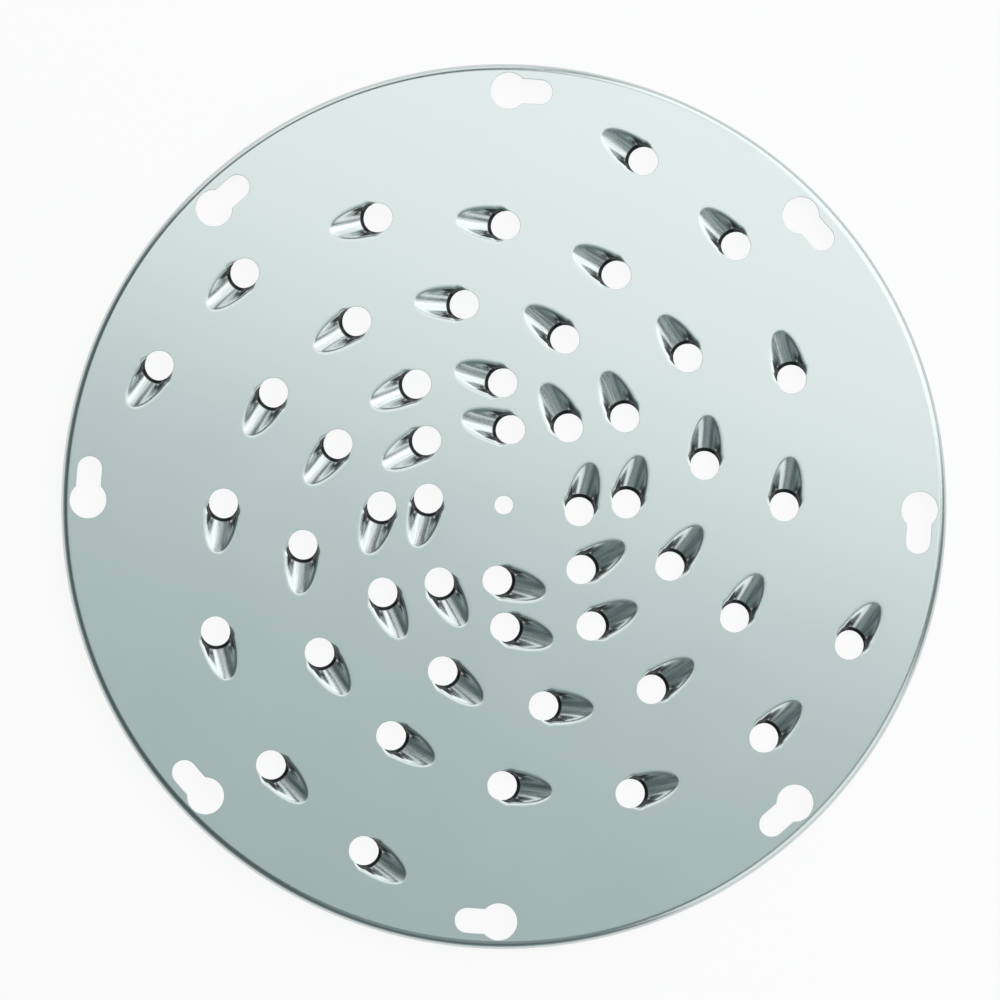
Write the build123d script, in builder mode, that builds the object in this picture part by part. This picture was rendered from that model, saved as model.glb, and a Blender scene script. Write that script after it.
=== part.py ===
# Shredding disc: one stainless sheet, blanked round, its rim turned over,
# with keyholes for a plate holder and rings of pierced and pressed shredding teeth.
# +Z is up. The smooth face is on top, the teeth stand out below it and carry the disc,
# and the origin is on the disc's axis, level with the tips of the teeth.
import os
from math import cos, degrees, radians, sin

from build123d import *

os.makedirs("parts", exist_ok=True)

# Sheet and rim
disc_diameter = 228.6
sheet_thickness = 1.2
rim_bend_radius = 2.2  # outside of the bend
rim_depth = 3.4  # top face to the rim's cut edge

# Centre hole and keyholes
centre_hole_diameter = 4.8
keyhole_count = 8
keyhole_head_diameter = 9.5
keyhole_slot_width = 6.4
keyhole_travel = 8.1  # along the pitch circle, from the head's centre to the slot's end centre
keyhole_rim_margin = 0.15  # flat sheet between a keyhole's head and the rim's bend
keyhole_angle = -0.7

# One tooth: a round hole, and a scoop that slopes down to the back of the hole
tooth_hole_diameter = 7.5
tooth_reach = 13.0  # hole's centre to the scoop's tip
tooth_slope = 18.5
scoop_inset = 0.55  # scoop's radius under the hole's
lip_flat = 0.3  # the lip's cut edge behind the hole, along the tooth
shoulder_radius = 1.3  # where the top face bends into the scoop

# Rings of teeth, from the inmost out: the ring's place between the inmost (0) and the
# outmost (1), the angle of its first tooth, and the teeth's lean out of the tangent
teeth_per_ring = 4
inmost_ring_radius = 19.5
keyholes_to_teeth = 11.2  # keyholes' pitch circle to the outmost ring
tooth_rings = (
    (0.000, 84.8, 9),
    (0.084, 50.0, 20),
    (0.157, 0.4, 17),
    (0.248, 35.7, 12),
    (0.341, 69.7, 18),
    (0.435, 11.1, 15),
    (0.540, 38.6, 5),
    (0.610, 63.9, 5),
    (0.690, 89.6, 7),
    (0.805, 23.6, 8),
    (0.920, 48.1, 4),
    (1.000, 67.9, 13),
)

# Worked out from the sizes above
disc_radius = disc_diameter / 2
flat_radius = disc_radius - rim_bend_radius
keyhole_pitch_radius = flat_radius - keyhole_rim_margin - keyhole_head_diameter / 2
slot_turn = degrees(keyhole_travel / keyhole_pitch_radius)
outmost_ring_radius = keyhole_pitch_radius - keyholes_to_teeth
hole_radius = tooth_hole_diameter / 2
scoop_radius = hole_radius - scoop_inset
bulge_radius = scoop_radius + sheet_thickness
slope = radians(tooth_slope)
scoop_start = tooth_reach - scoop_radius / sin(slope)  # where the scoop's axis meets the top face
lip_end = hole_radius + lip_flat
tooth_depth = (bulge_radius - (lip_end - scoop_start) * sin(slope)) / cos(slope)
lip_fall = (tooth_depth - sheet_thickness) / lip_end
top = max(tooth_depth, rim_depth)
underside = top - sheet_thickness
tool_length = 2 * tooth_reach
patch_margin = sheet_thickness / 2  # flat sheet kept round a tooth
blank_width = 5 * tooth_reach
edge_find = 0.01  # height band in which a face's edges are picked

# The scoop's axis climbs out of the top face, away from the hole at the origin
scoop_plane = Plane(
    origin=(scoop_start, 0, top),
    x_dir=(-sin(slope), 0, cos(slope)),
    z_dir=(cos(slope), 0, sin(slope)),
)

with BuildPart() as scoop:
    with BuildSketch(scoop_plane):
        Circle(scoop_radius)
    extrude(amount=tool_length, both=True)
    split(bisect_by=Plane.YZ, keep=Keep.TOP)

# The metal pressed out under the scoop ends inside the sheet above,
# and in front at the lip, which falls from the hole's sides to its back
with BuildPart() as bulge:
    with BuildSketch(scoop_plane):
        Circle(bulge_radius)
    extrude(amount=tool_length, both=True)
    split(bisect_by=Plane.YZ, keep=Keep.TOP)
    split(bisect_by=Plane.XY.offset(top - sheet_thickness / 2), keep=Keep.BOTTOM)
    split(
        bisect_by=Plane(origin=(0, 0, underside), x_dir=(0, 1, 0), z_dir=(lip_fall, 0, 1)),
        keep=Keep.TOP,
    )

with BuildSketch() as patch:
    with BuildLine():
        CenterArc((0, 0), bulge_radius + patch_margin, 0, 360)
        CenterArc((tooth_reach - hole_radius + patch_margin, 0), hole_radius, 0, 360)
    make_hull()

# One tooth, made in a wide piece of sheet, with the bend into the scoop rounded, and trimmed to its patch
with BuildPart() as tooth:
    with BuildSketch(Plane.XY.offset(underside)):
        Rectangle(blank_width, blank_width)
    extrude(amount=sheet_thickness)
    add(bulge.part)
    add(scoop.part, mode=Mode.SUBTRACT)
    Hole(hole_radius)
    bends = tooth.edges().filter_by(GeomType.ELLIPSE)
    fillet(bends.filter_by_position(Axis.Z, top - edge_find, top + edge_find), shoulder_radius)
    with BuildSketch():
        add(patch.sketch)
    extrude(amount=top, mode=Mode.INTERSECT)

tooth_places = []
for share, angle, lean in tooth_rings:
    ring_radius = inmost_ring_radius + share * (outmost_ring_radius - inmost_ring_radius)
    with PolarLocations(ring_radius, teeth_per_ring, start_angle=angle) as ring:
        tooth_places += [place * Location((0, 0, 0), (0, 0, 90 - lean)) for place in ring.locations]

with BuildLine() as slot_line:
    CenterArc((0, 0), keyhole_pitch_radius, -slot_turn, slot_turn)

with BuildPart() as disc:
    # Sheet with its turned-over rim, as one revolved section
    with BuildSketch(Plane.XZ):
        with BuildLine():
            Line((0, underside), (flat_radius, underside))
            RadiusArc(
                (flat_radius, underside),
                (disc_radius - sheet_thickness, top - rim_bend_radius),
                rim_bend_radius - sheet_thickness,
            )
            Polyline(
                (disc_radius - sheet_thickness, top - rim_bend_radius),
                (disc_radius - sheet_thickness, top - rim_depth),
                (disc_radius, top - rim_depth),
                (disc_radius, top - rim_bend_radius),
            )
            RadiusArc((disc_radius, top - rim_bend_radius), (flat_radius, top), -rim_bend_radius)
            Polyline((flat_radius, top), (0, top), (0, underside))
        make_face()
    revolve(axis=Axis.Z)

    # Teeth
    with BuildSketch(Plane.XY.offset(top)):
        with Locations(*tooth_places):
            add(patch.sketch)
    extrude(amount=-sheet_thickness, mode=Mode.SUBTRACT)
    with Locations(*tooth_places):
        add(tooth.part)

    # Centre hole, and keyholes whose slots run clockwise from their heads
    Hole(centre_hole_diameter / 2)
    with BuildSketch(Plane.XY.offset(top)):
        with PolarLocations(keyhole_pitch_radius, keyhole_count, start_angle=keyhole_angle):
            Circle(keyhole_head_diameter / 2)
        with PolarLocations(0, keyhole_count, start_angle=keyhole_angle):
            SlotArc(slot_line.edge(), keyhole_slot_width)
    extrude(amount=-2 * sheet_thickness, mode=Mode.SUBTRACT)

disc.part.label = "shredding_disc"
export_step(disc.part, "parts/shredding_disc.step")
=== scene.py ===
from math import acos, atan2, cos, hypot, pi, radians, sin, sqrt, tan

import bmesh
import bpy
import numpy as np
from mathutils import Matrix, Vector


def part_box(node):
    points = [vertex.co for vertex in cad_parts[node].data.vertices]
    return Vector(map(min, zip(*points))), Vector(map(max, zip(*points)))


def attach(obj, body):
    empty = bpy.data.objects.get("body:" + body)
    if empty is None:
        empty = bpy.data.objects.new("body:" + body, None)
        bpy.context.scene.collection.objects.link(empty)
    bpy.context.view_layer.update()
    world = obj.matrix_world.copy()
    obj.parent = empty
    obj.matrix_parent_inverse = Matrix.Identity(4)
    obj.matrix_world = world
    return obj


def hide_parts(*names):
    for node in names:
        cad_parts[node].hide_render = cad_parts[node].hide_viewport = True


mm = 0.001

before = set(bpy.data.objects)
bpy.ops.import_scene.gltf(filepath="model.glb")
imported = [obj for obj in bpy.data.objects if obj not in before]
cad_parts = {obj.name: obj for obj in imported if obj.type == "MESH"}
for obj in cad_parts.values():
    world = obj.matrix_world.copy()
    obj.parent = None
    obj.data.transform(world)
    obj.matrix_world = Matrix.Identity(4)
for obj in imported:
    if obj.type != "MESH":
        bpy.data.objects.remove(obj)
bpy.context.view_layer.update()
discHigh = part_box("shredding_disc")[1]
discRadius = discHigh[0]
topHeight = discHigh[2]
print("frame loaded, disc radius", round(discRadius / mm, 2), "mm")


# A node tree with one way to add a node: its type, its settings, then its inputs
class Tree:
    def __init__(self, nodeTree):
        self.tree = nodeTree

    def add(self, kind, settings=None, **inputs):
        node = self.tree.nodes.new(kind)
        for name, value in (settings or {}).items():
            setattr(node, name, value)
        for name, value in inputs.items():
            self.feed(self.socket(node, name), value)
        return node

    def socket(self, node, name):
        if name.startswith("in_"):
            return node.inputs[int(name[3:])]
        return next(s for s in node.inputs if s.name.replace(" ", "") == name and s.enabled)

    def feed(self, socket, value):
        for item in value if isinstance(value, list) else [value]:
            if isinstance(item, Wave):
                item = item.socket
            if isinstance(item, bpy.types.Node):
                item = item.outputs[0]
            if isinstance(item, bpy.types.NodeSocket):
                self.tree.links.new(item, socket)
            else:
                socket.default_value = item


# A number that changes over a surface: sums on it become Math nodes
class Wave:
    def __init__(self, tree, socket):
        self.tree = tree
        self.socket = socket

    def math(self, operation, other=0.0):
        node = self.tree.add("ShaderNodeMath", {"operation": operation}, in_0=self, in_1=other)
        return Wave(self.tree, node.outputs[0])

    def __add__(self, other):
        return self.math("ADD", other)

    def __sub__(self, other):
        return self.math("SUBTRACT", other)

    def __rsub__(self, other):
        return self * -1.0 + other

    def __mul__(self, other):
        return self.math("MULTIPLY", other)

    __radd__ = __add__
    __rmul__ = __mul__

    def clamped(self):
        return self.math("MAXIMUM", 0.0).math("MINIMUM", 1.0)


# Sheet, rim, keyholes and rings of teeth, in millimetres and degrees
sheet = {
    "thickness": 1.2,
    "rimBend": 2.2,
    "rimDepth": 3.4,
    "rimSteps": 9,
    "around": 288,
    "cutEdge": 0.1,       # rounding of the cut edges
    "centreHole": 2.4,
    "centreSteps": 56,
    "rimLedge": 0.03,     # a sliver of flat keeps the shading of the flat level
    "weld": 0.004,        # points nearer than this are one
}
keyhole = {
    "count": 8,
    "pitchRadius": 107.2,
    "head": 4.75,
    "slot": 3.2,
    "travel": 8.1,
    "firstAngle": -0.7,
    "step": 0.45,         # spacing of the outline's points
}
tooth = {
    "hole": 3.75,
    "reach": 13.0,
    "slope": 18.5,
    "scoop": 3.2,
    "square": 2.4,        # 2 is a round scoop, more is a squarer one
    "shoulder": 1.3,      # radius of the bend into the scoop
    "bendPull": 0.58,     # fullness of that bend's curve
    "patchMargin": 0.5,   # flat sheet kept round the tooth
    "lipRound": 0.42,
    "lipDepth": (1.0, 2.4),    # depths between which the lip's rounding grows
    "shadeReach": 3.0,    # how far from the hole the lip's painted shade band can go
    "shadeDepth": (0.3, 1.5),
    "upright": (-0.3, 0.5),    # the wall rights itself from this turn to this share of the fade
    "fade": 40.0,         # turn about the hole in which the bend fades out past the corner
    "columns": 16,
    "rows": 6,
    "rowCrowding": 1.35,  # more than 1 sets the rows closer to the lip
    "shoulderRows": 4,
    "fadeColumns": 8,
    "frontColumns": 16,
}
rings = {
    "teeth": 4,
    "inmost": 19.5,
    "outmost": 96.0,
    "places": (           # share of the way out, first angle, lean out of the tangent
        (0.0, 84.8, 9),
        (0.084, 50.0, 20),
        (0.157, 0.4, 17),
        (0.248, 35.7, 12),
        (0.341, 69.7, 18),
        (0.435, 11.1, 15),
        (0.540, 38.6, 5),
        (0.610, 63.9, 5),
        (0.690, 89.6, 7),
        (0.805, 23.6, 8),
        (0.920, 48.1, 4),
        (1.0, 67.9, 13),
    ),
}


def plainObject(name, vertices, edges=(), faces=()):
    mesh = bpy.data.meshes.new(name)
    mesh.from_pydata([tuple(v) for v in vertices], list(edges), list(faces))
    mesh.update()
    made = bpy.data.objects.new(name, mesh)
    bpy.context.scene.collection.objects.link(made)
    return made


def pointValues(mesh, name, values):
    layer = mesh.attributes.new(name, "FLOAT", "POINT")
    layer.data.foreach_set("value", [float(v) for v in values])


def smoothStep(low, high, x):
    t = min(max((x - low) / (high - low), 0.0), 1.0)
    return t * t * (3 - 2 * t)


# One tooth's top surface, its hole at the origin, its scoop along +X, the sheet's top face at height 0.
# Columns fan out from the hole's edge over the scoop, round the bend and onto the flat sheet.
def toothPatch():
    hole, scoop, power = tooth["hole"], tooth["scoop"], tooth["square"]
    slope = radians(tooth["slope"])
    start = tooth["reach"] - scoop / sin(slope)

    def section(turn):                        # the scoop's section, across and deep
        swell = scoop * (abs(sin(turn)) ** power + abs(cos(turn)) ** power) ** (-1 / power)
        return swell * sin(turn), swell * cos(turn)

    def facing(turn):                         # the way that the section faces there
        return atan2(abs(sin(turn)) ** (power - 1), abs(cos(turn)) ** (power - 1))

    def onScoop(run, turn):                   # run along the scoop's axis, turn round it
        across, deep = section(turn)
        return np.array([
            start + run * cos(slope) + deep * sin(slope),
            across,
            run * sin(slope) - deep * cos(slope),
        ])

    def edgeRun(turn):
        return section(turn)[1] / tan(slope)

    def onEdge(turn):
        return onScoop(edgeRun(turn), turn)

    def halve(low, high, inside):             # the last place between low and high that is still inside
        for _ in range(40):
            middle = (low + high) / 2
            if inside(middle):
                low = middle
            else:
                high = middle
        return low

    def clearOfHole(place):
        return hypot(place[0], place[1]) > hole

    def below(turn, width):                   # that far down the scoop, square to its edge
        inwards = np.array([-1, -sin(facing(turn)) / tan(slope)])
        inwards *= width / np.linalg.norm(inwards)
        return edgeRun(turn) + inwards[0], turn + inwards[1] / scoop

    def bendWidth(turn):
        return tooth["shoulder"] * tan(acos(cos(facing(turn)) * cos(slope)) / 2)

    def bendStart(turn):
        return below(turn, bendWidth(turn))

    lastTurn = halve(0, pi / 2, lambda turn: clearOfHole(onScoop(*bendStart(turn))))
    lastLip = bendStart(lastTurn)[1]
    turns = np.linspace(0, lastTurn, 400)
    places = np.array([onEdge(turn) for turn in turns])
    way = np.concatenate([[0], np.cumsum(np.linalg.norm(np.diff(places, axis=0), axis=1))])

    half = []                                 # the columns of one side, from the tip to the corner
    for i in range(tooth["columns"] + 1):
        share = i / tooth["columns"]
        turn = np.interp(share * way[-1], way, turns)
        lipTurn = lastLip * share
        across, deep = section(lipTurn)
        lipRun = (sqrt(hole ** 2 - across ** 2) - start - deep * sin(slope)) / cos(slope)
        innerRun, innerTurn = bendStart(turn)
        column = []
        for k in range(tooth["rows"] + 1):
            t = (k / tooth["rows"]) ** tooth["rowCrowding"]
            column.append(onScoop(lipRun + t * (innerRun - lipRun), lipTurn + t * (innerTurn - lipTurn)))

        width = bendWidth(turn)
        inner = onScoop(innerRun, innerTurn)
        rise = inner - onScoop(*below(turn, width + 0.01))
        rise *= tooth["bendPull"] * width / np.linalg.norm(rise)
        outwards = np.array([cos(facing(turn)) * sin(slope), sin(facing(turn)), 0])
        outwards /= np.linalg.norm(outwards)
        outer = onEdge(turn) + width * outwards
        a, b = inner + rise, outer - tooth["bendPull"] * width * outwards
        for k in range(1, tooth["shoulderRows"] + 1):
            t = k / tooth["shoulderRows"]
            s = 1 - t
            column.append(s ** 3 * inner + 3 * t * s * s * a + 3 * t * t * s * b + t ** 3 * outer)
        column.append(outer + tooth["patchMargin"] * outwards)
        half.append(column)

    rows = len(half[0])
    cornerAngle = atan2(half[-1][0][1], half[-1][0][0])
    corner = half[-1]
    for i in range(1, tooth["fadeColumns"] + 1):      # past the corner the bend fades out round the hole
        share = i / tooth["fadeColumns"]
        keep = 1 - smoothStep(0, 1, share)
        column = []
        for k, (u, v, z) in enumerate(corner):
            spread = max(k - tooth["rows"], 0) / (rows - 1 - tooth["rows"])
            reach = keep * (hypot(u, v) - hole) + (1 - keep) * tooth["patchMargin"] * spread
            angle = cornerAngle + share * radians(tooth["fade"]) + keep * (atan2(v, u) - cornerAngle)
            column.append(np.array([(hole + reach) * cos(angle), (hole + reach) * sin(angle), keep * z]))
        half.append(column)

    columns = [[place * np.array([1, -1, 1]) for place in column] for column in half[:0:-1]] + half
    vertices, faces = [], []
    for column in columns:
        vertices += column
    for c in range(len(columns) - 1):
        for r in range(rows - 1):
            k = c * rows + r
            faces.append((k, k + 1, k + rows + 1, k + rows))
    front = tooth["frontColumns"]
    base = len(vertices)
    firstAngle = cornerAngle + radians(tooth["fade"])
    for k in range(1, front):
        angle = firstAngle + (2 * pi - 2 * firstAngle) * k / front
        ray = np.array([cos(angle), sin(angle), 0])
        vertices += [hole * ray, (hole + tooth["patchMargin"]) * ray]
    for k in range(front - 2):
        j = base + 2 * k
        faces.append((j, j + 1, j + 3, j + 2))
    lastFront = len(vertices) - 2
    faces.append((*range(base - rows, base), base + 1, base))
    faces.append((lastFront, lastFront + 1, *range(rows - 1, -1, -1)))

    made = plainObject("toothPatch", vertices, faces=faces)
    work = bmesh.new()
    work.from_mesh(made.data)
    bmesh.ops.remove_doubles(work, verts=work.verts, dist=sheet["weld"])
    bmesh.ops.dissolve_degenerate(work, edges=work.edges, dist=sheet["weld"])
    shadeTooth(work, cornerAngle)
    bmesh.ops.scale(work, vec=(mm, mm, mm), verts=work.verts)
    work.to_mesh(made.data)
    work.free()
    return made


def onHole(vertex):
    return vertex.is_boundary and hypot(vertex.co.x, vertex.co.y) < tooth["hole"] + 0.02


# Numbers kept on the tooth: its outline and lip, where its wall stands upright, and for the finish and its
# painted shade how near the lip, how deep and how far across and along the scoop a place lies
def shadeTooth(work, cornerAngle):
    names = ("outline", "lip", "upright", "near", "scoop", "across", "along")
    layers = {name: work.verts.layers.float.new(name) for name in names}
    before = tooth["upright"][0]
    after = tooth["upright"][1] * radians(tooth["fade"])
    for vertex in work.verts:
        u, v, depth = vertex.co.x, vertex.co.y, -vertex.co.z
        edge = vertex.is_boundary and not onHole(vertex)
        vertex[layers["outline"]] = 1.0 if edge else 0.0
        vertex[layers["lip"]] = smoothStep(*tooth["lipDepth"], depth) if onHole(vertex) else 0.0
        vertex[layers["upright"]] = smoothStep(before, after, abs(atan2(v, u)) - cornerAngle)
        near = max(1 - (hypot(u, v) - tooth["hole"]) / tooth["shadeReach"], 0)
        vertex[layers["near"]] = near * smoothStep(*tooth["shadeDepth"], depth)
        vertex[layers["scoop"]] = smoothStep(0.05, 0.5, depth)
        vertex[layers["across"]] = 0.0 if edge else v / tooth["scoop"]
        vertex[layers["along"]] = 0.0 if edge else u / tooth["reach"]


# A keyhole's outline as a closed loop: its head at angle 0 on the pitch circle, its slot running clockwise
def keyholeLoop():
    pitch, head, slot = keyhole["pitchRadius"], keyhole["head"], keyhole["slot"]
    turn = keyhole["travel"] / pitch
    points = []

    def arc(centre, radius, first, last):
        count = max(2, round(abs(last - first) * radius / keyhole["step"]))
        for k in range(count):
            a = first + (last - first) * k / count
            points.append((centre[0] + radius * cos(a), centre[1] + radius * sin(a)))

    def meeting(radius):                      # where a side of the slot meets the head
        reach = (radius ** 2 + pitch ** 2 - head ** 2) / (2 * radius * pitch)
        a = -np.arccos(reach)
        return np.array([radius * cos(a), radius * sin(a)]), a

    outerEnd, outerTurn = meeting(pitch + slot)
    innerEnd, innerTurn = meeting(pitch - slot)
    headCentre = np.array([pitch, 0])
    endCentre = (pitch * cos(-turn), pitch * sin(-turn))
    fromOuter = outerEnd - headCentre
    fromInner = innerEnd - headCentre
    arc(headCentre, head, atan2(fromOuter[1], fromOuter[0]), atan2(fromInner[1], fromInner[0]) + 2 * pi)
    arc((0, 0), pitch - slot, innerTurn, -turn)
    arc(endCentre, slot, pi - turn, 2 * pi - turn)
    arc((0, 0), pitch + slot, -turn, outerTurn)
    count = len(points)
    edges = [(k, (k + 1) % count) for k in range(count)]
    return plainObject("keyholeLoop", [(x * mm, y * mm, 0) for x, y in points], edges)


# The rim's section as a line: across the last of the flat, round the bend and down to the cut edge
def rimLine():
    ledge = sheet["rimLedge"]
    bend, depth = sheet["rimBend"] - ledge, sheet["rimDepth"]
    points = [(0, 0)]
    for k in range(sheet["rimSteps"] + 1):
        a = pi / 2 * k / sheet["rimSteps"]
        points.append((ledge + bend * sin(a), bend * cos(a) - bend))
    points.append((ledge + bend, -depth))
    edges = [(k, k + 1) for k in range(len(points) - 1)]
    return plainObject("rimLine", [(x * mm, -y * mm, 0) for x, y in points], edges)


def toothPoints():
    places, turns = [], []
    for share, first, lean in rings["places"]:
        radius = rings["inmost"] + share * (rings["outmost"] - rings["inmost"])
        for k in range(rings["teeth"]):
            angle = radians(first + 360 / rings["teeth"] * k)
            places.append((radius * cos(angle) * mm, radius * sin(angle) * mm, 0))
            turns.append(angle + radians(90 - lean))
    made = plainObject("shreddingDisc", places)
    pointValues(made.data, "turn", turns)
    return made


# The sheet's top face: teeth on their points, the flat filled in round them and the rim swept round it
def sheetTree():
    group = bpy.data.node_groups.new("shreddingSheet", "GeometryNodeTree")
    face = group.interface
    face.new_socket("Geometry", in_out="INPUT", socket_type="NodeSocketGeometry")
    for name, kind in (
        ("Tooth", "Object"), ("Keyhole", "Object"), ("Rim Line", "Object"), ("Keyhole Count", "Int"),
        ("First Keyhole", "Float"), ("Flat Radius", "Float"), ("Centre Hole", "Float"),
        ("Around", "Int"), ("Height", "Float"), ("Finish", "Material"),
    ):
        face.new_socket(name, in_out="INPUT", socket_type="NodeSocket" + kind)
    face.new_socket("Geometry", in_out="OUTPUT", socket_type="NodeSocketGeometry")
    t = Tree(group)
    given = t.add("NodeGroupInput").outputs

    def mathNode(operation, a, b):
        return t.add("ShaderNodeMath", {"operation": operation}, in_0=a, in_1=b)

    def pointValue(name):
        return t.add("GeometryNodeInputNamedAttribute", {"data_type": "FLOAT"}, Name=name)

    def turnAbout(angle):
        return t.add("ShaderNodeCombineXYZ", Z=angle)

    def shapeOf(socket):
        return t.add("GeometryNodeObjectInfo", Object=socket).outputs["Geometry"]

    teeth = t.add(
        "GeometryNodeInstanceOnPoints",
        Points=t.add("GeometryNodeMeshToPoints", Mesh=given["Geometry"]),
        Instance=shapeOf(given["Tooth"]),
        Rotation=turnAbout(pointValue("turn")),
    )
    teeth = t.add("GeometryNodeRealizeInstances", Geometry=teeth)
    outline = pointValue("outline")
    onOutline = t.add("FunctionNodeCompare", {"operation": "GREATER_THAN"}, in_0=outline, in_1=0.99)
    toothLoops = t.add("GeometryNodeMeshToCurve", Mesh=teeth, Selection=onOutline)

    spot = t.add("GeometryNodePoints", Count=given["Keyhole Count"])
    step = mathNode("DIVIDE", 2 * pi, given["Keyhole Count"])
    angle = mathNode("MULTIPLY", t.add("GeometryNodeInputIndex"), step)
    keyholes = t.add(
        "GeometryNodeInstanceOnPoints",
        Points=spot,
        Instance=shapeOf(given["Keyhole"]),
        Rotation=turnAbout(mathNode("ADD", angle, given["First Keyhole"])),
    )
    keyholes = t.add("GeometryNodeRealizeInstances", Geometry=keyholes)
    keyholeLoops = t.add("GeometryNodeMeshToCurve", Mesh=keyholes)

    circle = "GeometryNodeCurvePrimitiveCircle"
    centre = t.add(circle, Resolution=sheet["centreSteps"], Radius=given["Centre Hole"])
    bendStart = t.add(circle, Resolution=given["Around"], Radius=given["Flat Radius"])
    loops = t.add("GeometryNodeJoinGeometry", Geometry=[toothLoops, keyholeLoops, centre, bendStart])
    flat = t.add("GeometryNodeFillCurve", Curve=loops)

    upright = t.add("GeometryNodeSetCurveNormal", {"mode": "Z_UP"}, Curve=bendStart)
    section = t.add("GeometryNodeMeshToCurve", Mesh=shapeOf(given["Rim Line"]))
    rim = t.add("GeometryNodeCurveToMesh", Curve=upright, ProfileCurve=section)

    whole = t.add("GeometryNodeJoinGeometry", Geometry=[teeth, flat, rim])
    whole = t.add("GeometryNodeMergeByDistance", Geometry=whole, Distance=sheet["weld"] * mm)
    lift = t.add("ShaderNodeCombineXYZ", Z=given["Height"])
    whole = t.add("GeometryNodeTransform", Geometry=whole, Translation=lift)
    whole = t.add("GeometryNodeRealizeInstances", Geometry=whole)
    whole = t.add("GeometryNodeSetMaterial", Geometry=whole, Material=given["Finish"])
    t.add("NodeGroupOutput", Geometry=whole)
    return group


def settle(made):
    graph = bpy.context.evaluated_depsgraph_get()
    plain = bpy.data.meshes.new_from_object(
        made.evaluated_get(graph), preserve_all_data_layers=True, depsgraph=graph
    )
    made.modifiers.clear()
    made.data = plain


# Past a tooth's corners the underside lies straight below the top face
def levelUnderside(made):
    mesh = made.data
    places = np.empty(len(mesh.vertices) * 3)
    mesh.vertices.foreach_get("co", places)
    share = np.empty(len(mesh.vertices))
    mesh.attributes["upright"].data.foreach_get("value", share)
    over, under = np.split(places.reshape(-1, 3), 2)
    drop = np.array([0, 0, sheet["thickness"] * mm])
    under += share[:len(under), None] * (over - drop - under)
    mesh.vertices.foreach_set("co", places)
    mesh.update()
    print("underside levelled")


# Rounds the cut edges: the lip of each tooth most, and no edge further than its neighbours leave room for
def roundCutEdges(made):
    work = bmesh.new()
    work.from_mesh(made.data)
    weight = work.edges.layers.float.new("bevel_weight_edge")
    lip = work.verts.layers.float["lip"]
    shadeAndFinishLayers = [work.verts.layers.float[name] for name in ("near", "scoop")]
    wall = max(face.material_index for face in work.faces)
    for vertex in work.verts:                 # the underside gets no painted shade and no streaks
        if all(f.normal.z < 0 for f in vertex.link_faces if f.material_index < wall):
            for layer in shadeAndFinishLayers:
                vertex[layer] = 0.0
    onSkin = {e for e in work.edges if all(f.material_index < wall for f in e.link_faces)}
    for edge in work.edges:
        skin = [f for f in edge.link_faces if f.material_index < wall]
        if len(skin) != 1:
            continue
        width = sheet["cutEdge"]
        if skin[0].normal.z > 0:
            width += (tooth["lipRound"] - width) * (edge.verts[0][lip] + edge.verts[1][lip]) / 2
        room = min(e.calc_length() for v in edge.verts for e in v.link_edges if e in onSkin)
        edge[weight] = min(width, 0.5 * room / mm) / tooth["lipRound"]
    for face in work.faces:
        face.material_index = 0
        face.smooth = True
    work.to_mesh(made.data)
    work.free()
    rounding = made.modifiers.new("rounding", "BEVEL")
    rounding.limit_method = "WEIGHT"
    rounding.width = tooth["lipRound"] * mm
    rounding.segments = 3
    rounding.use_clamp_overlap = False
    rounding.harden_normals = True
    settle(made)


def shreddingDisc(finish):
    made = toothPoints()
    helpers = [toothPatch(), keyholeLoop(), rimLine()]
    shape = made.modifiers.new("shape", "NODES")
    shape.node_group = sheetTree()
    given = {
        "Tooth": helpers[0],
        "Keyhole": helpers[1],
        "Rim Line": helpers[2],
        "Keyhole Count": keyhole["count"],
        "First Keyhole": radians(keyhole["firstAngle"]),
        "Flat Radius": discRadius - sheet["rimBend"] * mm,
        "Centre Hole": sheet["centreHole"] * mm,
        "Around": sheet["around"],
        "Height": topHeight,
        "Finish": finish,
    }
    for item in shape.node_group.interface.items_tree:
        if item.in_out == "INPUT" and item.name in given:
            shape[item.identifier] = given[item.name]
    wall = made.modifiers.new("wall", "SOLIDIFY")
    wall.thickness = sheet["thickness"] * mm
    wall.offset = -1
    wall.use_even_offset = True
    wall.material_offset_rim = 1
    for _ in range(3):                        # so that the wall's faces get a number of their own
        made.data.materials.append(finish)
    settle(made)
    for helper in helpers:
        bpy.data.objects.remove(helper)
    levelUnderside(made)
    roundCutEdges(made)
    made.data.materials.clear()
    made.data.materials.append(finish)
    return made


# Satin stainless steel: faint clouding, a fine brushed grain, and painted shade along the sheared lips and
# in the corners behind the holes, where the metal is also rougher
satin = {
    "color": (0.62, 0.667, 0.657),
    "dullColor": (0.03, 0.034, 0.034),
    "roughness": 0.23,
    "roughCloud": 0.05,   # what clouds, scoops, lips and streaks add to the roughness
    "roughScoop": 0.04,
    "roughLip": 0.2,
    "roughStreak": 0.2,
    "clouding": 0.05,
    "cloudScale": 38.0,
    "grain": 0.03,
    "grainScale": 2600.0,
    "grainBump": 0.08,
    "streaks": 0.9,       # lines drawn along the scoops
    "streakScale": (6.5, 1.6, 8.0),    # across, along, and from tooth to tooth
    "driftScale": 14.0,
    "lipBand": 0.37,      # painted shade band along the sheared lip, as a share of the tooth's shadeReach
    "lipEdge": 15.0,      # how sharply that band ends
    "cornerDark": 0.9,    # painted shade in the corners behind the hole
    "cornerFrom": 0.36,   # where it starts across the scoop, how it tapers along it and how sharply it ends
    "cornerTaper": 1.4,
    "cornerEdge": 9.0,
}


def stored(t, name):
    return Wave(t, t.add("ShaderNodeAttribute", {"attribute_name": name}).outputs["Fac"])


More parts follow.
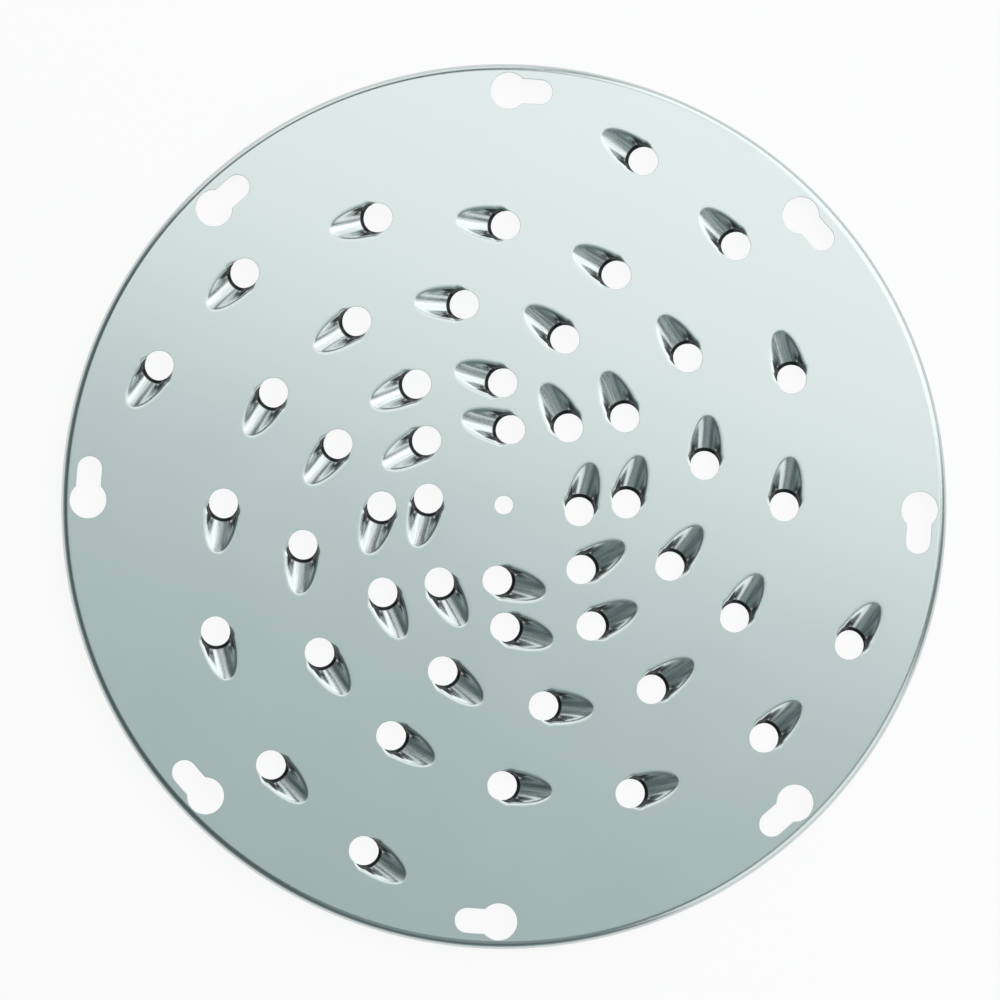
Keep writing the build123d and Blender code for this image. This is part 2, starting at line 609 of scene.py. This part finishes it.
def satinSteel():
    material = bpy.data.materials.new("satinSteel")
    material.use_nodes = True
    material.node_tree.nodes.clear()
    t = Tree(material.node_tree)
    place = t.add("ShaderNodeTexCoord").outputs["Object"]

    def noise(vector, scale, detail):
        node = t.add("ShaderNodeTexNoise", Vector=vector, Scale=scale, Detail=detail)
        return Wave(t, node.outputs[0])

    cloud = noise(place, satin["cloudScale"], 3.0) - 0.5
    speck = noise(place, satin["grainScale"], 2.0)
    scoop, across, along = (stored(t, name) for name in ("scoop", "across", "along"))

    side = across.math("ABSOLUTE")
    # painted shade in the corners beside the lip, tapering along the scoop's sides
    corner = ((side - satin["cornerFrom"] - satin["cornerTaper"] * along) * satin["cornerEdge"]).clamped()
    corner = corner * ((scoop - 0.3) * 4.0).clamped()
    # painted shade: a near-black band along the lip behind each hole
    lip = ((stored(t, "near") - 1.0 + satin["lipBand"]) * satin["lipEdge"]).clamped()
    lip = lip.math("MAXIMUM", corner * satin["cornerDark"])

    acrossScale, alongScale, driftShare = satin["streakScale"]
    drift = noise(place, satin["driftScale"], 0.0) * driftShare
    streakPlace = t.add("ShaderNodeCombineXYZ", X=across * acrossScale, Y=along * alongScale, Z=drift)
    streak = (noise(streakPlace, 1.0, 2.0) - 0.5) * scoop

    level = 1.0 + cloud * satin["clouding"] + (speck - 0.5) * satin["grain"] + streak * satin["streaks"]
    gray = t.add("ShaderNodeCombineXYZ", X=level, Y=level, Z=level)
    multiply = {"data_type": "RGBA", "blend_type": "MULTIPLY"}
    steel = t.add("ShaderNodeMix", multiply, in_0=1.0, in_6=(*satin["color"], 1), in_7=gray).outputs[2]
    paintedShade = (*satin["dullColor"], 1)
    # the painted shade darkens the steel to near black there
    color = t.add("ShaderNodeMix", {"data_type": "RGBA"}, in_0=lip, in_6=steel, in_7=paintedShade).outputs[2]
    rough = satin["roughness"] + cloud * satin["roughCloud"] + scoop * satin["roughScoop"]
    rough = rough + lip * satin["roughLip"] + streak * satin["roughStreak"]
    bump = t.add("ShaderNodeBump", Strength=satin["grainBump"], Distance=0.02 * mm, Height=speck)
    shader = t.add("ShaderNodeBsdfPrincipled", BaseColor=color, Metallic=1.0, Roughness=rough, Normal=bump)
    t.add("ShaderNodeOutputMaterial", Surface=shader)
    return material


disc = shreddingDisc(satinSteel())
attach(disc, "root")
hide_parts("shredding_disc")
print("disc made,", sum(len(p.vertices) - 2 for p in disc.data.polygons), "triangles")


# Plain studio: a pale floor, soft panels, a dim room
studio = {
    "floorSize": 12.0,
    "floorColor": 0.95,
    "floorWhite": 0.9,    # share of the floor that shows as white to the camera
    "room": (0.10, 0.13, 0.13),
    "lowWalls": 1.6,      # how much brighter the room is low down
    "wallTop": 0.6,       # height, as the sine of an angle, where that begins
    "wallEdge": 2.5,
    "panels": (           # name, azimuth, elevation, distance, width, height, brightness, color
        ("keyPanel", 42, 33, 0.9, 1.15, 0.82, 1.35, (1, 1, 1)),
        ("topPanel", 69, 72.7, 1.0, 1.2, 0.5, 1.2, (1, 1, 1)),
        ("fillPanel", 249, 83.2, 1.0, 1.2, 0.36, 0.57, (0.86, 1, 0.99)),
        ("lowFill", 265, 55, 1.0, 0.45, 0.45, 0.25, (0.86, 1, 0.99)),
        ("sidePanel", 316, 26, 0.9, 0.72, 0.7, 1.0, (1, 1, 1)),
        ("backPanel", 110, 16, 0.9, 0.85, 0.45, 0.9, (1, 1, 1)),
    ),
    "cameraAway": 1.2,
    "cameraLean": 2.0,
    "frameWidth": 0.25773,
    "frameCentre": (-0.0010, 0.00125),
}


def paleFloor():
    half = studio["floorSize"] / 2
    corners = [(-half, -half, 0), (half, -half, 0), (half, half, 0), (-half, half, 0)]
    floor = plainObject("paleFloor", corners, faces=[(0, 1, 2, 3)])
    material = bpy.data.materials.new("paleFloor")
    material.use_nodes = True
    material.node_tree.nodes.clear()
    t = Tree(material.node_tree)
    path = t.add("ShaderNodeLightPath").outputs
    seen = Wave(t, path["Is Camera Ray"]) + path["Is Glossy Ray"] + path["Is Transmission Ray"]
    matt = t.add("ShaderNodeBsdfDiffuse", Color=(*[studio["floorColor"]] * 3, 1))
    white = t.add("ShaderNodeEmission", Color=(1, 1, 1, 1), Strength=1.0)
    mix = t.add("ShaderNodeMixShader", in_0=seen.clamped() * studio["floorWhite"], in_1=matt, in_2=white)
    t.add("ShaderNodeOutputMaterial", Surface=mix)
    floor.data.materials.append(material)


def dimRoom():
    world = bpy.data.worlds.new("dimRoom")
    world.use_nodes = True
    world.node_tree.nodes.clear()
    t = Tree(world.node_tree)
    way = t.add("ShaderNodeSeparateXYZ", Vector=t.add("ShaderNodeTexCoord").outputs["Generated"])
    low = ((studio["wallTop"] - Wave(t, way.outputs["Z"])) * studio["wallEdge"]).clamped()
    bright = 1.0 + low * studio["lowWalls"]
    light = t.add("ShaderNodeBackground", Color=(*studio["room"], 1), Strength=bright)
    t.add("ShaderNodeOutputWorld", Surface=light)
    bpy.context.scene.world = world


def softPanels():
    for name, azimuth, elevation, away, width, height, bright, color in studio["panels"]:
        lamp = bpy.data.lights.new(name, "AREA")
        lamp.shape = "RECTANGLE"
        lamp.size = width
        lamp.size_y = height
        lamp.energy = bright * pi * width * height
        lamp.color = color
        made = bpy.data.objects.new(name, lamp)
        level, turn = radians(elevation), radians(azimuth)
        made.location = away * Vector((cos(level) * cos(turn), cos(level) * sin(turn), sin(level)))
        made.rotation_euler = (pi / 2 - level, 0, turn + pi / 2)
        made.visible_camera = False
        bpy.context.scene.collection.objects.link(made)


def camera():
    view = bpy.data.cameras.new("camera")
    view.lens = view.sensor_width * studio["cameraAway"] / studio["frameWidth"]
    made = bpy.data.objects.new("camera", view)
    lean = radians(studio["cameraLean"])
    aim = Vector((*studio["frameCentre"], topHeight))
    made.location = aim + studio["cameraAway"] * Vector((0, -sin(lean), cos(lean)))
    made.rotation_euler = (lean, 0, 0)
    bpy.context.scene.collection.objects.link(made)
    bpy.context.scene.camera = made


paleFloor()
dimRoom()
softPanels()
camera()
bpy.context.scene.view_settings.view_transform = "Standard"
print("studio set")
